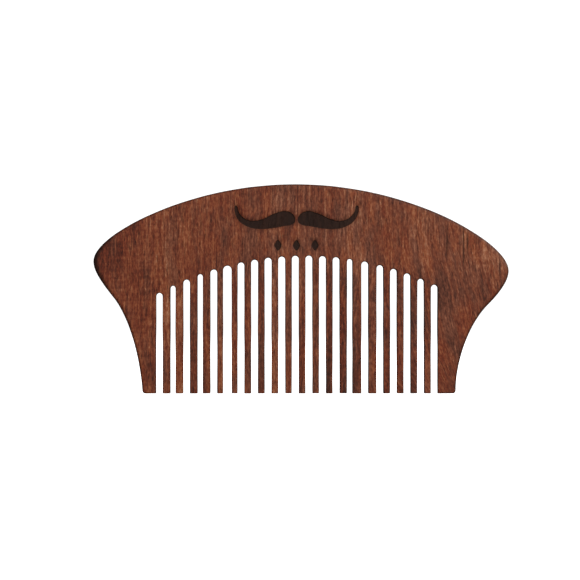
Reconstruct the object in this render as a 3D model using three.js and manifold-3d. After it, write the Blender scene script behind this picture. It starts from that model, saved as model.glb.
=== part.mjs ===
// A beard comb: one board of dark hardwood, with slots sawn up from its lower edge.
//
// Millimetres. +Z runs from the tooth tips up to the crown, +X runs along the comb, and the
// engraved face looks along -Y. The tooth tips stand on z = 0.
//
// The comb is a single piece of wood. It is modelled as a spine, two guard teeth and the teeth
// between them, which meet face to face at the tooth roots, so that every slot stays open.

import * as THREE from 'three';
import { mergeVertices } from 'three/addons/utils/BufferGeometryUtils.js';
import Module from 'manifold-3d';

const wasm = await Module();
wasm.setup();

// The board is a wedge, thickest at the crown.
const halfLength = 55;
const height = 55.4;
const crownThickness = 5;
const tipThickness = 3.2;
const easedEdge = 0.4;
const easedEdgeSteps = 2;
const curveSegments = 20;

// The crown is an arc, which ends on each side where the shoulder curve takes over.
const crown = { x: -1.5, radius: 96, halfSpan: 36 };

// Each end of the board: a flank from the foot to the waist, a shoulder from the waist to the
// outermost point, and a shoulder from there to the crown. x is the distance from the middle, and
// lean is the slope away from the vertical in degrees.
const leftEnd = {
  side: -1,
  footRadius: 1,
  foot: { x: 42, lean: 5 },
  waist: { x: 49, z: 24.5, lean: 35 },
  outermost: { x: halfLength, z: 35 },
};
const rightEnd = {
  side: 1,
  footRadius: 1,
  foot: { x: 41, lean: 0 },
  waist: { x: 49.5, z: 23.5, lean: 45 },
  outermost: { x: halfLength, z: 32.5 },
};

// How far a curve's handles reach, as shares of the straight distance between its two ends: on
// the flanks, above the pointed end, and where the crown begins.
const flankReach = 0.3;
const pointReach = 0.2;
const crownReach = 0.4;

// The slots have round ends, which follow an arch under the crown.
const slotCount = 21;
const slotPitch = 3.6;
const firstSlotX = -37.5;
const slotWidth = 1.8;
const slotEndSegments = 12;
const slotArch = { x: 1, top: 36.5, radius: 80 };

// Two neighbouring teeth are broader than the rest.
const broaderTeeth = [15, 16];
const extraBreadth = 0.4;

// A few slots, numbered from the left, are plainly narrower or wider than the rest.
const narrowSlots = [2, 4, 15];
const narrowSlotWidth = 1.4;
const wideSlots = [6];
const wideSlotWidth = 2.3;

function widthOfSlot(number) {
  if (narrowSlots.includes(number)) return narrowSlotWidth;
  return wideSlots.includes(number) ? wideSlotWidth : slotWidth;
}

// A slot's centre line, its half width, and the height at which its round end begins.
function sawSlot(number) {
  const broaderBefore = broaderTeeth.filter((tooth) => tooth < number).length;
  const x = firstSlotX + (number - 1) * slotPitch + broaderBefore * extraBreadth;
  const drop = slotArch.radius - Math.sqrt(slotArch.radius ** 2 - (x - slotArch.x) ** 2);
  const halfWidth = widthOfSlot(number) / 2;
  return { x, halfWidth, springing: slotArch.top - drop - halfWidth };
}

const slots = Array.from({ length: slotCount }, (_, index) => sawSlot(index + 1));

// The height of the crown arc above the tooth tips, x from the middle of the comb.
function crownHeight(x) {
  const centreZ = height - crown.radius;
  return centreZ + Math.sqrt(crown.radius ** 2 - (x - crown.x) ** 2);
}

// The Bezier points of one end of the board, from its foot up to the crown arc.
function endCurves(end) {
  const { side, foot, waist, outermost } = end;
  const leaning = (degrees, reach) => {
    const angle = THREE.MathUtils.degToRad(degrees);
    return new THREE.Vector2(side * Math.sin(angle), Math.cos(angle)).multiplyScalar(reach);
  };
  const footPoint = new THREE.Vector2(side * foot.x, end.footRadius);
  const waistPoint = new THREE.Vector2(side * waist.x, waist.z);
  const outermostPoint = new THREE.Vector2(side * outermost.x, outermost.z);
  const crownPoint = new THREE.Vector2(side * crown.halfSpan, crownHeight(side * crown.halfSpan));
  const fromCentre = new THREE.Vector2(crownPoint.x - crown.x, crownPoint.y - height + crown.radius);
  const alongCrown = new THREE.Vector2(side * fromCentre.y, -side * fromCentre.x);
  const lowerReach = flankReach * footPoint.distanceTo(waistPoint);
  const upperReach = flankReach * waistPoint.distanceTo(outermostPoint);
  const shoulder = outermostPoint.distanceTo(crownPoint);
  return [
    footPoint,
    footPoint.clone().add(leaning(foot.lean, lowerReach)),
    waistPoint.clone().sub(leaning(waist.lean, lowerReach)),
    waistPoint,
    waistPoint.clone().add(leaning(waist.lean, upperReach)),
    outermostPoint.clone().sub(leaning(0, upperReach)),
    outermostPoint,
    outermostPoint.clone().add(leaning(0, pointReach * shoulder)),
    crownPoint.clone().add(alongCrown.setLength(crownReach * shoulder)),
    crownPoint,
  ];
}

// Draws the curves through a list of Bezier points, whose first point is where the outline is.
function followCurves(outline, points) {
  for (let i = 1; i < points.length; i += 3) {
    const [firstHandle, secondHandle, next] = points.slice(i, i + 3);
    outline.bezierCurveTo(firstHandle.x, firstHandle.y, secondHandle.x, secondHandle.y, next.x, next.y);
  }
}

// The comb's outline: up the left end, over the crown, down the right end, and back along the
// tooth tips, in and out of every slot.
function combOutline() {
  const outline = new THREE.Shape();
  const leftFoot = -leftEnd.foot.x;
  const rightFoot = rightEnd.foot.x;
  outline.moveTo(leftFoot + leftEnd.footRadius, 0);
  outline.quadraticCurveTo(leftFoot, 0, leftFoot, leftEnd.footRadius);
  followCurves(outline, endCurves(leftEnd));
  const centreZ = height - crown.radius;
  const angleAt = (x) => Math.atan2(crownHeight(x) - centreZ, x - crown.x);
  const [from, to] = [angleAt(-crown.halfSpan), angleAt(crown.halfSpan)];
  outline.absarc(crown.x, centreZ, crown.radius, from, to, true);
  followCurves(outline, endCurves(rightEnd).reverse());
  outline.quadraticCurveTo(rightFoot, 0, rightFoot - rightEnd.footRadius, 0);
  for (const { x, halfWidth, springing } of slots.toReversed()) {
    outline.lineTo(x + halfWidth, 0);
    const roundEnd = new THREE.ArcCurve(x, springing, halfWidth, 0, Math.PI, false);
    for (const point of roundEnd.getPoints(slotEndSegments)) outline.lineTo(point.x, point.y);
    outline.lineTo(x - halfWidth, 0);
  }
  return outline;
}

// The whole board with its slots, thinned evenly towards the tooth tips.
function combBoard() {
  const depth = crownThickness - 2 * easedEdge;
  const board = new THREE.ExtrudeGeometry(combOutline(), {
    depth,
    curveSegments,
    bevelSegments: easedEdgeSteps,
    bevelSize: easedEdge,
    bevelOffset: -easedEdge,
    bevelThickness: easedEdge,
  });
  board.translate(0, 0, -depth / 2);
  board.rotateX(Math.PI / 2);
  const position = board.getAttribute('position');
  for (let i = 0; i < position.count; i++) {
    const share = position.getZ(i) / height;
    const thickness = tipThickness + (crownThickness - tipThickness) * share;
    position.setY(i, (position.getY(i) * thickness) / crownThickness);
  }
  return board;
}

// A closed three.js geometry as a manifold-3d solid.
function toSolid(geometry) {
  geometry.deleteAttribute('normal');
  geometry.deleteAttribute('uv');
  const merged = mergeVertices(geometry);
  return new wasm.Manifold(new wasm.Mesh({
    numProp: 3,
    vertProperties: merged.getAttribute('position').array,
    triVerts: new Uint32Array(merged.index.array),
  }));
}

// A manifold-3d solid as a three.js geometry.
function toGeometry(solid) {
  const { vertProperties, triVerts } = solid.getMesh();
  const geometry = new THREE.BufferGeometry();
  geometry.setAttribute('position', new THREE.BufferAttribute(vertProperties, 3));
  geometry.setIndex(new THREE.BufferAttribute(triVerts, 1));
  geometry.computeVertexNormals();
  return geometry;
}

// The space of one tooth, between two upright lines and below its root.
function toothSpace(left, right, root) {
  const belowTips = 1;
  const space = new THREE.BoxGeometry(right - left, 2 * crownThickness, root + belowTips);
  space.translate((left + right) / 2, 0, (root - belowTips) / 2);
  return toSolid(space);
}

// The name and the space of each tooth. A tooth ends where the lower of its two slots turns
// round, and a guard tooth reaches out past the end of the board.
function toothSpaces() {
  const pastTheEnd = 60;
  const first = slots[0];
  const last = slots[slots.length - 1];
  const spaces = slots.slice(1).map((slot, i) => {
    const root = Math.min(slots[i].springing, slot.springing);
    const number = String(i + 1).padStart(2, '0');
    return { name: `tooth_${number}`, space: toothSpace(slots[i].x, slot.x, root) };
  });
  return [
    { name: 'guard_tooth_left', space: toothSpace(-pastTheEnd, first.x, first.springing) },
    ...spaces,
    { name: 'guard_tooth_right', space: toothSpace(last.x, pastTheEnd, last.springing) },
  ];
}

// One named piece of oiled, open-grained dark wood.
function woodMesh(name, solid) {
  const wood = new THREE.MeshStandardMaterial({ color: 0x6a3e2e, roughness: 0.55, metalness: 0 });
  const mesh = new THREE.Mesh(toGeometry(solid), wood);
  mesh.name = name;
  return mesh;
}

function beardComb() {
  const comb = new THREE.Group();
  const board = toSolid(combBoard());
  let spine = board;
  for (const { name, space } of toothSpaces()) {
    comb.add(woodMesh(name, board.intersect(space)));
    spine = spine.subtract(space);
  }
  comb.add(woodMesh('spine', spine));
  return comb;
}

export default beardComb();
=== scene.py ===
"""The looks of a beard comb: one board of dark hardwood, seen square on against white.

The outline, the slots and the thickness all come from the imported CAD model. This script gives them
eased edges, slightly wandering saw cuts, an engraved ornament, and wood with streaks and pores.
"""

import math

import bmesh
import bpy
import numpy as np
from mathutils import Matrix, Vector, geometry, kdtree, noise


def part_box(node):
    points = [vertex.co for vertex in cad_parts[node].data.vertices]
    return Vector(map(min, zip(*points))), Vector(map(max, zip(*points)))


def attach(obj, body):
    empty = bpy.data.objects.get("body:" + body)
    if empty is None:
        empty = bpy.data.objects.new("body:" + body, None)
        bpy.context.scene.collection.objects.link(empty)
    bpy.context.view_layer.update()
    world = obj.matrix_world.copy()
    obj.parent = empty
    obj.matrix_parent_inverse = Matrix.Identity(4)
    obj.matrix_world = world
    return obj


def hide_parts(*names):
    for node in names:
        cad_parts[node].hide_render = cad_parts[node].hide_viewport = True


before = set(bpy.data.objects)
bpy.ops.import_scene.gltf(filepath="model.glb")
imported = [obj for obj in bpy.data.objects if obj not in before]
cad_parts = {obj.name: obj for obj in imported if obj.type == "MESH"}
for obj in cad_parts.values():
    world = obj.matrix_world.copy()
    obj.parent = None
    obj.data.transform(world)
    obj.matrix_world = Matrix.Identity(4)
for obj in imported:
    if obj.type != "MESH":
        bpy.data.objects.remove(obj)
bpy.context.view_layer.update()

MM = 0.001
WELD = 0.002 * MM

# The board's edges. A rim is the quarter round between a face and the side of the board.
OUTLINE_STEP = 0.9 * MM
OUTER_RIM = 0.8 * MM
FOOT_RIM = 0.4 * MM
FOOT_HEIGHT = 12 * MM
SLOT_RIM = 0.25 * MM
RIM_BLEND = 10
RIM_STEPS = 5
# How much of the rims' painted shade the middle of the board's side gets.
SIDE_PAINTED_SHADE = 0.3
WORN_TIP_RIM = 1.3 * MM
WORN_TIP_X = -52 * MM
GUARD_TIP = 1.2 * MM
TIP_CORNER = 0.15 * MM
TIP_CORNER_STEPS = 4
SHARP_CORNER = math.radians(45)
SAW_WANDER = 0.06 * MM
SAW_WAVE = 7 * MM
SAW_REACH = 0.5 * MM

# The faces: a flat margin inside each rim, then a grid of points that rise and fall a little.
FACE_MARGIN = 0.1 * MM
FACE_GRID = 1.3 * MM
FACE_HOLLOW = 0.03 * MM
FACE_WAVE = 14 * MM
FLAT_BELOW = 40 * MM

# The ornament, cut into the front face.
ORNAMENT_X = -1.2 * MM
MOUSTACHE_Z = 46 * MM
LOZENGE_Z = 39.2 * MM
LOZENGE_SPACING = 4.9 * MM
ENGRAVING_DEPTH = 0.25 * MM
ENGRAVING_STEP = 0.3 * MM

# ---------------------------------------------------------------- the comb's outline


def middle_section(node):
    """The edges, as pairs of (x, z) points, in which the plane y = 0 cuts a CAD node."""
    solid = bmesh.new()
    solid.from_mesh(node.data)
    bmesh.ops.remove_doubles(solid, verts=solid.verts, dist=WELD)
    everything = [*solid.verts, *solid.edges, *solid.faces]
    cut = bmesh.ops.bisect_plane(solid, geom=everything, plane_co=(0, 0, 0), plane_no=(0, 1, 0))
    edges = [
        tuple((vert.co.x, vert.co.z) for vert in edge.verts)
        for edge in cut["geom_cut"]
        if isinstance(edge, bmesh.types.BMEdge)
    ]
    solid.free()
    return edges


def on_seam(edge, seam):
    """Whether an edge lies on the level seam between two root points."""
    (left, root), (right, _) = seam
    level = all(abs(z - root) < WELD for _, z in edge)
    return level and left - WELD < sum(x for x, _ in edge) / 2 < right + WELD


def chain(edges):
    """The closed loop of points that the edges form, as an array."""
    wire = bmesh.new()
    for edge in edges:
        wire.edges.new([wire.verts.new((x, 0, z)) for x, z in edge])
    bmesh.ops.remove_doubles(wire, verts=wire.verts, dist=WELD)
    start = min(wire.verts, key=lambda vert: (vert.co.z, vert.co.x))
    edge = start.link_edges[0]
    loop = [start]
    while edge.other_vert(loop[-1]) is not start:
        loop.append(edge.other_vert(loop[-1]))
        edge = next(link for link in loop[-1].link_edges if link is not edge)
    points = np.array([(vert.co.x, vert.co.z) for vert in loop])
    wire.free()
    return points


def counterclockwise(points):
    x, z = points.T
    area = np.sum(x * np.roll(z, -1) - z * np.roll(x, -1))
    return points if area > 0 else points[::-1]


def cad_outline():
    """The comb's whole outline, and each tooth's seam: the ends of the line where its root begins."""
    seams, edges = {}, []
    for name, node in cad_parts.items():
        if name == "spine":
            continue
        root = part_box(name)[1].z
        section = middle_section(node)
        top = [edge for edge in section if min(z for _, z in edge) > root - WELD]
        xs = [x for edge in top for x, _ in edge]
        seams[name] = ((min(xs), root), (max(xs), root))
        edges += [edge for edge in section if edge not in top]
    for edge in middle_section(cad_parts["spine"]):
        if not any(on_seam(edge, seam) for seam in seams.values()):
            edges.append(edge)
    return counterclockwise(chain(edges)), seams


def without_straight_points(points, seams):
    """Drops each point on a straight line between its neighbours, unless a seam ends there."""
    ends = [end for seam in seams.values() for end in seam]
    kept = []
    for i, point in enumerate(points):
        before = kept[-1] if kept else points[i - 1]
        across = points[(i + 1) % len(points)] - before
        along = point - before
        offset = abs(across[0] * along[1] - across[1] * along[0]) / max(np.hypot(*across), WELD)
        if offset > 0.5 * WELD or min(math.dist(point, end) for end in ends) < WELD:
            kept.append(point)
    return np.array(kept)


def turn_angles(points):
    """How far the outline turns left at each point, in radians."""
    into = points - np.roll(points, 1, axis=0)
    out = np.roll(points, -1, axis=0) - points
    cross = into[:, 0] * out[:, 1] - into[:, 1] * out[:, 0]
    return np.arctan2(cross, np.sum(into * out, axis=1))


def with_short_edges(points, longest):
    """Splits each edge that is longer than the longest one allowed."""
    split = []
    for start, end in zip(points, np.roll(points, -1, axis=0)):
        pieces = math.ceil(np.hypot(*(end - start)) / longest)
        split += [start + (end - start) * i / pieces for i in range(pieces)]
    return np.array(split)


def outward_normals(points):
    """Each point's outward direction, as long as keeps parallel edges parallel when moved along it."""
    along = np.roll(points, -1, axis=0) - points
    edge_normals = np.column_stack([along[:, 1], -along[:, 0]])
    edge_normals /= np.linalg.norm(edge_normals, axis=1, keepdims=True)
    summed = edge_normals + np.roll(edge_normals, 1, axis=0)
    return 2 * summed / np.sum(summed**2, axis=1, keepdims=True)


def smoothed(values, passes):
    """Evens out the values round a closed loop."""
    for _ in range(passes):
        values = 0.5 * values + 0.25 * (np.roll(values, 1, axis=0) + np.roll(values, -1, axis=0))
    return values


def waves(points, length):
    """A gentle wave in -1..1 at each 2-D point."""
    return np.array([noise.noise(Vector((x, 0, z)) / length) for x, z in points])


def on_outer_edge(points):
    """1 for the points on the comb's outer edge, 0 for those in a slot or on a tooth's tip."""
    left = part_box("guard_tooth_left")[1].x - GUARD_TIP
    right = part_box("guard_tooth_right")[0].x + GUARD_TIP
    above_slots = 40 * MM
    x, z = points.T
    return ((x < left) | (x > right) | (z > above_slots)).astype(float)


def corner_curve(before, corner, after):
    """A small curve that takes a sharp corner's place, as offsets from the corner."""
    start, end = (TIP_CORNER * (side - corner) / math.dist(side, corner) for side in (before, after))
    return [(1 - t) ** 2 * start + t**2 * end for t in np.linspace(0, 1, TIP_CORNER_STEPS + 1)]


class Outline:
    """The comb's outline, ready to be given rims, with the seams as pairs of point numbers.

    Each point hangs on an anchor by an offset. The offset is zero but for the points that round a
    tooth's sharp corner, which share the corner as their anchor.
    """

    def __init__(self):
        points, seams = cad_outline()
        points = with_short_edges(without_straight_points(points, seams), OUTLINE_STEP)
        outer = on_outer_edge(points)
        ends = {
            name: [int(np.argmin(np.linalg.norm(points - end, axis=1))) for end in seam]
            for name, seam in seams.items()
        }
        wander = SAW_WANDER * waves(points, SAW_WAVE)
        wander = np.where(outer > 0.5, -np.abs(wander), wander)
        wander = np.where(points[:, 1] < TIP_CORNER, -2 * np.abs(wander), wander)
        points = points + outward_normals(points) * smoothed(wander, 2)[:, None]

        sharp = turn_angles(points) > SHARP_CORNER
        source, offsets = [], []
        for i, point in enumerate(points):
            curve = [np.zeros(2)]
            if sharp[i]:
                curve = corner_curve(points[i - 1], point, points[(i + 1) % len(points)])
            source += [i] * len(curve)
            offsets += curve
        self.seams = {name: [source.index(end) for end in pair] for name, pair in ends.items()}
        self.anchors, self.offsets = points[source], np.array(offsets)
        self.normals = outward_normals(points)[source]
        outer_rim = np.interp(points[:, 1], (0, FOOT_HEIGHT), (FOOT_RIM, OUTER_RIM))
        outer_rim = np.where(points[:, 0] < WORN_TIP_X, WORN_TIP_RIM, outer_rim)
        self.rim = smoothed(np.where(outer > 0.5, outer_rim, SLOT_RIM), RIM_BLEND)[source]
        self.points = self.inset(0)

    def inset(self, distance):
        """The outline moved inwards by a distance, which may differ from point to point."""
        distance = np.broadcast_to(distance, len(self.anchors))[:, None]
        tightening = 1 - 0.7 * np.minimum(1, distance / SLOT_RIM)
        return self.anchors - self.normals * distance + self.offsets * tightening

    def owners(self):
        """For each edge of the outline, the name of the piece it belongs to."""
        names = ["spine"] * len(self.points)
        for name, ends in self.seams.items():
            start, stop = self.tooth_range(ends)
            for i in range(start, stop):
                names[i % len(names)] = name
        return names

    def tooth_range(self, ends):
        """The point numbers from one seam end down round the tooth's tip to the other."""
        start, stop = ends
        return start, stop if stop > start else stop + len(self.points)


def wedge():
    """The slope and the base of the board's half thickness, read off the CAD model's front face."""
    corners = [vert.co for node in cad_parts.values() for vert in node.data.vertices]
    height = max(co.z for co in corners)
    low = max((co for co in corners if co.z < 0.1 * height), key=lambda co: -co.y)
    high = max(corners, key=lambda co: -co.y)
    slope = (low.y - high.y) / (high.z - low.z)
    return slope, -low.y - slope * low.z


WEDGE_SLOPE, WEDGE_BASE = wedge()


def half_thickness(z):
    return WEDGE_BASE + WEDGE_SLOPE * z


# ---------------------------------------------------------------- the engraved ornament


def closed_curve(controls, step):
    """A smooth closed curve through the control points, as an array of points about a step apart."""
    curve = []
    count = len(controls)
    for i in range(count):
        before, start, end, after = (Vector(controls[(i + k) % count]) for k in (-1, 0, 1, 2))
        pieces = max(2, round((end - start).length / step) + 1)
        first_handle = start + (end - before) / 6
        second_handle = end - (after - start) / 6
        curve += geometry.interpolate_bezier(start, first_handle, second_handle, end, pieces)[:-1]
    return np.array(curve)


def moustache_half(side):
    """One half of a plain curled moustache, in millimetres from its middle."""
    controls = [
        (0.5, 0.7), (1.7, 1.9), (3.6, 2.2), (6.2, 1.4), (9.0, 0.1), (11.6, -0.4), (13.8, 0.3),
        (15.2, 1.8), (15.7, 3.4), (16.1, 3.7), (16.4, 3.2), (16.1, 1.2), (14.7, -0.8), (12.2, -2.1),
        (9.2, -2.5), (6.2, -2.2), (3.4, -1.7), (1.6, -1.4), (0.5, -0.7),
    ]  # fmt: skip
    return [(side * x * MM, z * MM) for x, z in controls]


def lozenge():
    """A small upright lozenge with soft corners."""
    width, height, soft = 0.85 * MM, 1.25 * MM, 0.25 * MM
    return [
        (width, -soft), (width, soft), (soft, height), (-soft, height),
        (-width, soft), (-width, -soft), (-soft, -height), (soft, -height),
    ]  # fmt: skip


def ornament_loops():
    """The ornament's closed outlines on the front face."""
    placed = [(moustache_half(side), 0, MOUSTACHE_Z) for side in (-1, 1)]
    placed += [(lozenge(), i * LOZENGE_SPACING, LOZENGE_Z) for i in (-1, 0, 1)]
    loops = []
    for controls, x, z in placed:
        moved = [(ORNAMENT_X + x + dx, z + dz) for dx, dz in controls]
        loops.append(counterclockwise(closed_curve(moved, ENGRAVING_STEP)))
    return loops


# Each engraved edge is three lines: how far it stands out from the ornament's outline, how deep it
# lies as a share of the engraving's depth, and how charred it is.
ENGRAVING_LINES = [(0.12 * MM, 0.0, 0.3), (0.0, 0.4, 0.85), (-0.1 * MM, 1.0, 1.0)]


def inside(points, loop):
    """Whether each point lies inside a closed loop."""
    x, z = points[:, 0, None], points[:, 1, None]
    x0, z0 = loop.T
    x1, z1 = np.roll(loop, -1, axis=0).T
    crosses = (z0 > z) != (z1 > z)
    with np.errstate(divide="ignore", invalid="ignore"):
        at = x0 + (z - z0) / (z1 - z0) * (x1 - x0)
    return np.sum(crosses & (x < at), axis=1) % 2 == 1


# ---------------------------------------------------------------- the board's mesh


class Board:
    """The comb's surface as points with rim and char values, and faces with the piece each is in."""

    def __init__(self, outline):
        self.outline = outline
        self.points, self.rim, self.char = [], [], []
        self.faces, self.owners = [], []

    def add_points(self, points, rim, char):
        """Adds an array of 3-D points and returns their numbers."""
        first = len(self.points)
        self.points += [tuple(point) for point in points]
        self.rim += list(np.broadcast_to(rim, len(points)))
        self.char += list(np.broadcast_to(char, len(points)))
        return np.arange(first, len(self.points))

    def add_face(self, corners, owner):
        self.faces.append([int(corner) for corner in corners])
        self.owners.append(owner)

    def add_ring(self, inset, below_face, side, rim):
        """A ring of points round the outline, below_face under the front (-1) or back (1) face."""
        flat = self.outline.inset(inset)
        y = side * (half_thickness(flat[:, 1]) - below_face)
        return self.add_points(np.column_stack([flat[:, 0], y, flat[:, 1]]), rim, 0)

    def add_side(self):
        """The rims and the side between them. Returns the front and back rings inside the rims."""
        radius = self.outline.rim
        rings = []
        for side in (-1, 1):
            half = [self.add_ring(radius + FACE_MARGIN, 0, side, 0)]
            for share in np.linspace(1, 0, RIM_STEPS + 1):
                angle = share * math.pi / 2
                inset = radius * (1 - math.cos(angle))
                half.append(self.add_ring(inset, radius * (1 - math.sin(angle)), side, 1 - share))
            rings.append(half)
        front, back = rings
        x, z = self.outline.points.T
        # The side's middle ring takes a share of the rims' painted shade.
        middle = self.add_points(np.column_stack([x, 0 * radius, z]), SIDE_PAINTED_SHADE, 0)
        stack = [*front, middle, *reversed(back)]
        owners = self.outline.owners()
        for upper, lower in zip(stack, stack[1:]):
            for i, owner in enumerate(owners):
                j = (i + 1) % len(owners)
                self.add_face((upper[i], upper[j], lower[j], lower[i]), owner)
        return front[0], back[0]

    def add_broad_face(self, ring, side, loops):
        """Fills a face inside its rim, with an engraving inside the loops."""
        rim_line = self.outline.inset(self.outline.rim + FACE_MARGIN)
        fill = fill_points(rim_line, loops)
        lines = [
            (loop + outward_normals(loop) * out, level, char)
            for loop in loops
            for out, level, char in ENGRAVING_LINES
        ]
        cells = triangulate(rim_line, [line for line, _, _ in lines], fill, self.outline.seams.values())
        levels = np.zeros(len(rim_line))
        chars = np.zeros(len(rim_line))
        for line, level, char in lines:
            levels = np.append(levels, np.full(len(line), level))
            chars = np.append(chars, np.full(len(line), char))
        sunk = np.zeros(len(fill), bool)
        for line, level, _ in lines:
            if level == 1:
                sunk |= inside(fill, line)
        levels, chars = np.append(levels, sunk), np.append(chars, sunk)
        hollow = np.zeros(len(levels))
        above_slots = np.clip((fill[:, 1] - FLAT_BELOW) / FACE_GRID, 0, 1)
        hollow[len(levels) - len(fill) :] = FACE_HOLLOW * above_slots * np.abs(waves(fill, FACE_WAVE))
        numbers = {}
        for number, (point, sources) in enumerate(zip(cells.points, cells.sources)):
            source = min(sources)
            if source < len(ring):
                numbers[number] = ring[source]
                continue
            depth = ENGRAVING_DEPTH * levels[source] + hollow[source]
            y = side * (half_thickness(point[1]) - depth)
            numbers[number] = self.add_points([(point[0], y, point[1])], 0, chars[source])[0]
        middles = np.array([np.mean([cells.points[i] for i in cell], axis=0) for cell in cells.triangles])
        for triangle, middle, on_board in zip(cells.triangles, middles, inside(middles, rim_line)):
            if on_board:
                self.add_face([numbers[corner] for corner in triangle], self.owner_at(middle, rim_line))

    def owner_at(self, point, rim_line):
        """The piece that holds a point of a face: a tooth if it lies below the tooth's seam."""
        for name, (start, stop) in self.outline.seams.items():
            (x0, z0), (x1, z1) = rim_line[start], rim_line[stop]
            on_tooth = x0 - SAW_REACH < point[0] < x1 + SAW_REACH
            if on_tooth and point[1] < z0 + (z1 - z0) * (point[0] - x0) / (x1 - x0):
                return name
        return "spine"


def fill_points(rim_line, loops):
    """A staggered grid of points that keep clear of the rim and of the engraving's lines."""
    low, high = rim_line.min(axis=0), rim_line.max(axis=0)
    rows = np.arange(low[1], high[1], FACE_GRID * math.sqrt(3) / 2)
    grid = []
    for number, z in enumerate(rows):
        for x in np.arange(low[0] + FACE_GRID / 2 * (number % 2), high[0], FACE_GRID):
            grid.append((x, z))
    grid = np.array(grid)
    grid = grid[inside(grid, rim_line)]
    lines = [(rim_line, 0.6 * FACE_GRID), *((loop, 0.35 * FACE_GRID) for loop in loops)]
    for line, clearance in lines:
        tree = kdtree.KDTree(len(line))
        for i, (x, z) in enumerate(line):
            tree.insert((x, 0, z), i)
        tree.balance()
        grid = np.array([p for p in grid if tree.find((p[0], 0, p[1]))[2] > clearance])
    return grid


class Cells:
    """Triangles over a flat region, with the input point or points that each corner comes from."""

    def __init__(self, points, triangles, sources):
        self.points, self.triangles, self.sources = points, triangles, sources


def triangulate(rim_line, lines, fill, seams):
    """Triangles inside the rim line, which keep the edges of the closed lines and of the seams."""
    points, edges = [], []
    for line in (rim_line, *lines):
        first = len(points)
        points += [Vector(point) / MM for point in line]
        edges += [(first + i, first + (i + 1) % len(line)) for i in range(len(line))]
    points += [Vector(point) / MM for point in fill]
    edges += [tuple(seam) for seam in seams]
    inside_constraints, tolerance = 1, 1e-5
    made = geometry.delaunay_2d_cdt(points, edges, [], inside_constraints, tolerance, True)
    return Cells([np.array(point) * MM for point in made[0]], made[2], made[3])


def build_pieces(board):
    """One closed object for the spine and for each tooth."""
    wood = wood_material()
    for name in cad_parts:
        mesh = bpy.data.meshes.new(name)
        piece = bpy.data.objects.new(f"wood_{name}", mesh)
        bpy.context.scene.collection.objects.link(piece)
        faces = [face for face, owner in zip(board.faces, board.owners) if owner == name]
        used = sorted({corner for face in faces for corner in face})
        number = {corner: i for i, corner in enumerate(used)}
        mesh.from_pydata(
            [board.points[corner] for corner in used],
            [],
            [[number[corner] for corner in face] for face in faces],
        )
        # The rim value weights the painted shade on the rims; the char value marks the charred engraving.
        for label, values in (("rim", board.rim), ("char", board.char)):
            layer = mesh.attributes.new(label, "FLOAT", "POINT")
            layer.data.foreach_set("value", [values[corner] for corner in used])
        close_and_smooth(mesh)
        mesh.materials.append(wood)
        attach(piece, "root")
        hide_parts(name)


def close_and_smooth(mesh):
    """Caps the seams, turns every face outwards and shades the rims smooth."""
    solid = bmesh.new()
    solid.from_mesh(mesh)
    open_edges = [edge for edge in solid.edges if edge.is_boundary]
    bmesh.ops.holes_fill(solid, edges=open_edges, sides=0)
    bmesh.ops.recalc_face_normals(solid, faces=solid.faces)
    if solid.calc_volume(signed=True) < 0:
        bmesh.ops.reverse_faces(solid, faces=solid.faces)
    solid.to_mesh(mesh)
    solid.free()
    mesh.shade_smooth()
    mesh.set_sharp_from_angle(angle=math.radians(40))


# ---------------------------------------------------------------- the wood


def srgb(red, green, blue):
    """A colour given in 0..255 as the linear colour that a shader takes."""
    return (*(((c / 255 + 0.055) / 1.055) ** 2.4 for c in (red, green, blue)), 1)


class Graph:
    """Adds nodes to a material. Each method returns the new node's output socket."""

    def __init__(self, material):
        self.tree = material.node_tree

    def node(self, kind, inputs, output=0, **settings):
        made = self.tree.nodes.new(kind)
        for key, value in settings.items():
            setattr(made, key, value)
        for key, value in inputs.items():
            if isinstance(value, bpy.types.NodeSocket):
                self.tree.links.new(value, made.inputs[key])
            else:
                made.inputs[key].default_value = value
        return made.outputs[output]

    def math(self, operation, a, b=0.0, c=0.0):
        return self.node("ShaderNodeMath", {0: a, 1: b, 2: c}, operation=operation)

    def span(self, value, from_low, from_high, to_low=0.0, to_high=1.0, smooth=False):
        """Maps one range of a value to another, and clamps it."""
        inputs = {0: value, 1: from_low, 2: from_high, 3: to_low, 4: to_high}
        kind = "SMOOTHSTEP" if smooth else "LINEAR"
        return self.node("ShaderNodeMapRange", inputs, interpolation_type=kind)

    def ramp(self, value, stops):
        """A colour ramp through (position, colour) stops."""
        socket = self.node("ShaderNodeValToRGB", {0: value})
        elements = socket.node.color_ramp.elements
        for position, colour in stops[2:]:
            elements.new(position).color = colour
        for element, (position, colour) in zip(elements, sorted(stops)):
            element.position, element.color = position, colour
        return socket

    def mix(self, share, a, b, blend="MIX"):
        inputs = {0: share, 6: a, 7: b}
        return self.node("ShaderNodeMix", inputs, 2, data_type="RGBA", blend_type=blend)

    def noise(self, vector, frequency, detail=2.0, roughness=0.5):
        """Noise with its own frequency along each axis, in waves per millimetre."""
        scaled = self.node("ShaderNodeVectorMath", {0: vector, 1: frequency}, operation="MULTIPLY")
        inputs = {"Vector": scaled, "Scale": 1.0, "Detail": detail, "Roughness": roughness}
        return self.node("ShaderNodeTexNoise", inputs)

    def attribute(self, name):
        return self.node("ShaderNodeAttribute", {}, 2, attribute_name=name)


# The wood's tone: 0 is the darkest heartwood and 1 the lightest streak.
SPINE_TONE = 0.5
TEETH_TONE = 0.45

# Broad stripes of lighter or darker wood in the spine, with painted light at both ends: where each
# one's middle is, how far it reaches to each side, and how much it changes the tone.
SPINE_STRIPES_AND_END_SHADING = [
    # Painted shade: the left end, which turns from the light.
    (-55, 14, -0.25),
    (-36, 5, 0.1),
    (-7, 3, 0.1),
    (13, 5, 0.15),
    (32, 6, 0.1),
    (42, 5, 0.1),
    # Painted highlight: the sheen on the right end.
    (55, 12, 0.35),
]

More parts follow.
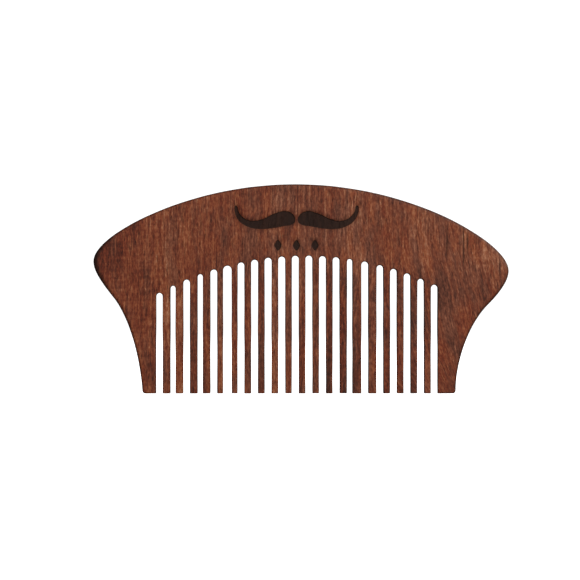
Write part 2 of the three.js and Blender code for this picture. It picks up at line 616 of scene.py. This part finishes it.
# The teeth that stand out from the rest, and how much each one's tone differs.
UNEVEN_TEETH = {
    "tooth_01": 0.15,
    "tooth_02": 0.2,
    "tooth_05": 0.1,
    "tooth_09": 0.1,
    "tooth_13": -0.15,
    "tooth_14": -0.15,
    "tooth_17": -0.1,
    "tooth_19": -0.1,
}
TOOTH_REACH = 2

# The wood's colour at each tone, in its warmer and in its cooler patches.
WARM_TONES = [
    (0.0, srgb(45, 15, 5)),
    (0.4, srgb(105, 45, 25)),
    (0.7, srgb(135, 75, 45)),
    (1.0, srgb(170, 120, 90)),
]
COOL_TONES = [
    (0.0, srgb(35, 15, 10)),
    (0.4, srgb(85, 45, 30)),
    (0.7, srgb(120, 70, 50)),
    (1.0, srgb(165, 115, 85)),
]
PORE_COLOUR = srgb(50, 27, 20)
# Painted shade: the near-black colour of rims that turn from the light.
RIM_SHADE_COLOUR = srgb(24, 13, 10)
CHAR_COLOUR = srgb(27, 17, 12)

# Dark lines of open grain in the right end: where each is, and its lowest and highest point.
GRAIN_LINES = [(38.6, 34, 45), (43.0, 32, 46), (44.0, 36, 44), (52.6, 30, 37), (31.5, 28, 34)]


def with_stripes(graph, x, tone, stripes):
    """The tone with soft-edged stripes added, from a list of (x, reach, change), in millimetres."""
    for at, reach, change in stripes:
        away = graph.math("ABSOLUTE", graph.math("SUBTRACT", x, at))
        tone = graph.math("ADD", graph.span(away, 0, reach, change, 0, smooth=True), tone)
    return tone


def tooth_stripes():
    """A stripe at the middle of each tooth that stands out."""
    stripes = []
    for name, change in UNEVEN_TEETH.items():
        low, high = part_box(name)
        stripes.append(((low.x + high.x) / 2 / MM, TOOTH_REACH, change))
    return stripes


class Grain:
    """Where on the board a point is, in millimetres, and the noises that run along the grain."""

    def __init__(self, graph):
        place = graph.node("ShaderNodeTexCoord", {}, 3)
        self.place = graph.node("ShaderNodeVectorMath", {0: place, "Scale": 1 / MM}, operation="SCALE")
        separate = graph.node("ShaderNodeSeparateXYZ", {0: self.place}).node
        self.x, y, self.z = separate.outputs

        # Grain lines wander a little, run slantwise through the thickness, and lean more and more
        # towards the lower right corner.
        wander = graph.noise(self.place, (0.06, 0.1, 0.05), detail=2)
        wander = graph.math("MULTIPLY_ADD", wander, 2.0, -1.0)
        self.band_x = graph.math("ADD", graph.math("MULTIPLY_ADD", y, 0.35, self.x), wander)
        below_crown = graph.math("POWER", graph.math("SUBTRACT", 60.0, self.z), 2.0)
        lean = graph.span(self.x, 12, 42, 0, -0.003, smooth=True)
        leaning_x = graph.math("ADD", self.band_x, graph.math("MULTIPLY", lean, below_crown))
        self.along = graph.node("ShaderNodeCombineXYZ", {0: leaning_x, 1: y, 2: self.z})

        self.streaks = graph.noise(self.along, (1.1, 0.8, 0.035), detail=4, roughness=0.6)
        self.fibres = graph.noise(self.along, (1.9, 1.5, 0.16), detail=5, roughness=0.75)
        self.flecks = graph.noise(self.along, (2.3, 1.8, 0.85), detail=4, roughness=0.65)


def wood_colour(graph, grain):
    """The wood's colour: stripes, streaks, fibres and flecks, in warmer and cooler patches, with painted
    shade at the spine's left end and a painted highlight at its right end.
    """
    spine_tone = with_stripes(graph, grain.band_x, SPINE_TONE, SPINE_STRIPES_AND_END_SHADING)
    teeth_tone = with_stripes(graph, grain.x, TEETH_TONE, tooth_stripes())
    tone = graph.mix(graph.span(grain.z, 26, 38, smooth=True), teeth_tone, spine_tone)
    layers = (
        (grain.streaks, graph.span(grain.x, 10, 40, 0.7, 0.4)),
        (grain.fibres, 1.3),
        (grain.flecks, 1.2),
        (graph.noise(grain.place, (0.35, 0.3, 0.16), detail=3), 0.3),
        (graph.noise(grain.place, (0.25, 0.3, 1.6)), graph.span(grain.x, -44, -24, 0.4, 0.1, smooth=True)),
    )
    for layer, strength in layers:
        tone = graph.math("MULTIPLY_ADD", graph.math("SUBTRACT", layer, 0.5), strength, tone)
    cool = graph.noise(grain.along, (0.25, 0.1, 0.06), detail=4, roughness=0.75)
    cool = graph.math("ADD", graph.span(cool, 0.40, 0.60), graph.span(grain.x, -40, -5, -0.35, 0))
    return graph.mix(cool, graph.ramp(tone, WARM_TONES), graph.ramp(tone, COOL_TONES))


def open_grain(graph, grain):
    """A mask of the wood's coarse and fine pores, and of the dark lines in the right end."""
    fields = graph.noise(grain.place, (0.25, 0.2, 0.08), detail=1)
    edge = graph.math("MULTIPLY_ADD", fields, -0.16, 0.74)
    coarse = graph.noise(grain.along, (2.6, 2.6, 0.25), detail=1)
    coarse = graph.span(graph.math("SUBTRACT", coarse, edge), 0, 0.07, 0, 0.5)
    fine = graph.noise(grain.along, (6.5, 5.0, 0.42), detail=1)
    fine = graph.span(graph.math("SUBTRACT", fine, edge), -0.04, 0.0, 0, 0.6)
    mask = graph.math("MAXIMUM", coarse, fine)
    ragged_x = graph.math("MULTIPLY_ADD", grain.fibres, 0.8, grain.x)
    for at, low, high in GRAIN_LINES:
        away = graph.math("ABSOLUTE", graph.math("SUBTRACT", ragged_x, at + 0.4))
        line = graph.span(away, 0.1, 0.35, 0.8, 0)
        line = graph.math("MULTIPLY", line, graph.span(grain.z, low, low + 3))
        line = graph.math("MULTIPLY", line, graph.span(grain.z, high - 3, high, 1, 0))
        mask = graph.math("MAXIMUM", mask, line)
    return mask


def painted_rim_shade(graph, grain):
    """A mask of painted shade on the rims, where the edges turn from the light. It reaches farthest in at
    the left end, and farther towards the right than in the middle.
    """
    reach = graph.span(grain.x, -55, -47, 0.12, 1.3, smooth=True)
    reach = graph.math("ADD", reach, graph.span(grain.x, -15, 35, 0.0, -0.6, smooth=True))
    return graph.math("MULTIPLY", graph.math("POWER", graph.attribute("rim"), reach), 0.93)


def wood_material():
    """Dark hardwood with its grain along Z, painted shade on the rims and a charred engraving."""
    material = bpy.data.materials.new("comb_wood")
    material.use_nodes = True
    graph = Graph(material)
    shader = graph.tree.nodes["Principled BSDF"]
    grain = Grain(graph)
    pores = open_grain(graph, grain)
    char = graph.attribute("char")
    char_mask = graph.math("MULTIPLY", char, graph.span(grain.fibres, 0.2, 0.8, 0.86, 1.0))

    colour = graph.mix(pores, wood_colour(graph, grain), PORE_COLOUR)
    # Painted shade on the rims and on the sides of the board.
    colour = graph.mix(painted_rim_shade(graph, grain), colour, RIM_SHADE_COLOUR)
    colour = graph.mix(char_mask, colour, CHAR_COLOUR)
    roughness = graph.math("MULTIPLY_ADD", grain.fibres, 0.25, 0.4)
    roughness = graph.math("MULTIPLY_ADD", pores, 0.4, roughness)
    roughness = graph.math("MULTIPLY_ADD", char, 0.25, roughness)
    relief = graph.math("MULTIPLY_ADD", grain.fibres, 0.35, graph.math("MULTIPLY", grain.flecks, 0.3))
    relief = graph.math("MULTIPLY_ADD", pores, -2, relief)
    bump = graph.node("ShaderNodeBump", {"Strength": 0.6, "Distance": 0.04 * MM, "Height": relief})

    shader.inputs["Specular IOR Level"].default_value = 0.15
    for name, socket in (("Base Color", colour), ("Roughness", roughness), ("Normal", bump)):
        graph.tree.links.new(socket, shader.inputs[name])
    return material


# ---------------------------------------------------------------- stage, lights and camera

VIEW_WIDTH = 153.4 * MM
VIEW_CENTRE = Vector((-2.9 * MM, 0, 27.4 * MM))
LENS, SENSOR = 180, 36


def stage_material(name, brightness, glow):
    material = bpy.data.materials.new(name)
    material.use_nodes = True
    shader = material.node_tree.nodes["Principled BSDF"]
    shader.inputs["Base Color"].default_value = (brightness, brightness, brightness, 1)
    shader.inputs["Roughness"].default_value = 0.9
    shader.inputs["Emission Color"].default_value = (1, 1, 1, 1)
    shader.inputs["Emission Strength"].default_value = glow
    return material


def build_stage():
    """A plain pale floor under the comb, in a plain pale surround."""
    bpy.ops.mesh.primitive_plane_add(size=60)
    floor = bpy.context.object
    floor.name = "floor"
    floor.data.materials.append(stage_material("floor_paint", 0.8, 1.0))
    floor.visible_diffuse = False
    floor.visible_glossy = False
    world = bpy.data.worlds.new("surround")
    bpy.context.scene.world = world
    world.use_nodes = True
    tree = world.node_tree
    graph = Graph(world)
    seen = graph.node("ShaderNodeLightPath", {}, 0)
    strength = graph.math("MULTIPLY_ADD", seen, 1.0, 0.22)
    background = tree.nodes["Background"]
    background.inputs["Color"].default_value = (1, 1, 1, 1)
    tree.links.new(strength, background.inputs["Strength"])


def add_softbox(name, azimuth, elevation, distance, size, energy):
    """A square area light that looks at the middle of the comb."""
    data = bpy.data.lights.new(name, "AREA")
    data.size = size
    data.energy = energy
    light = bpy.data.objects.new(name, data)
    bpy.context.scene.collection.objects.link(light)
    a, e = math.radians(azimuth), math.radians(elevation)
    direction = Vector((math.sin(a) * math.cos(e), -math.cos(a) * math.cos(e), math.sin(e)))
    light.location = VIEW_CENTRE + direction * distance
    light.rotation_mode = "QUATERNION"
    light.rotation_quaternion = direction.to_track_quat("Z", "Y")


def build_lights():
    add_softbox("key", 40, 28, 0.7, 0.35, 4.6)
    add_softbox("fill", -12, 20, 0.9, 0.4, 1.9)
    add_softbox("back", 145, 30, 0.8, 0.4, 4.0)


def build_camera():
    data = bpy.data.cameras.new("camera")
    data.lens, data.sensor_width = LENS, SENSOR
    data.clip_start, data.clip_end = 0.01, 20
    camera = bpy.data.objects.new("camera", data)
    bpy.context.scene.collection.objects.link(camera)
    front = -half_thickness(VIEW_CENTRE.z)
    camera.location = VIEW_CENTRE + Vector((0, front - VIEW_WIDTH * LENS / SENSOR, 0))
    camera.rotation_euler = (math.radians(90), 0, 0)
    bpy.context.scene.camera = camera


def build_comb():
    board = Board(Outline())
    front, back = board.add_side()
    board.add_broad_face(front, -1, ornament_loops())
    board.add_broad_face(back, 1, [])
    build_pieces(board)


build_comb()
build_stage()
build_lights()
build_camera()
bpy.context.scene.view_settings.view_transform = "Standard"
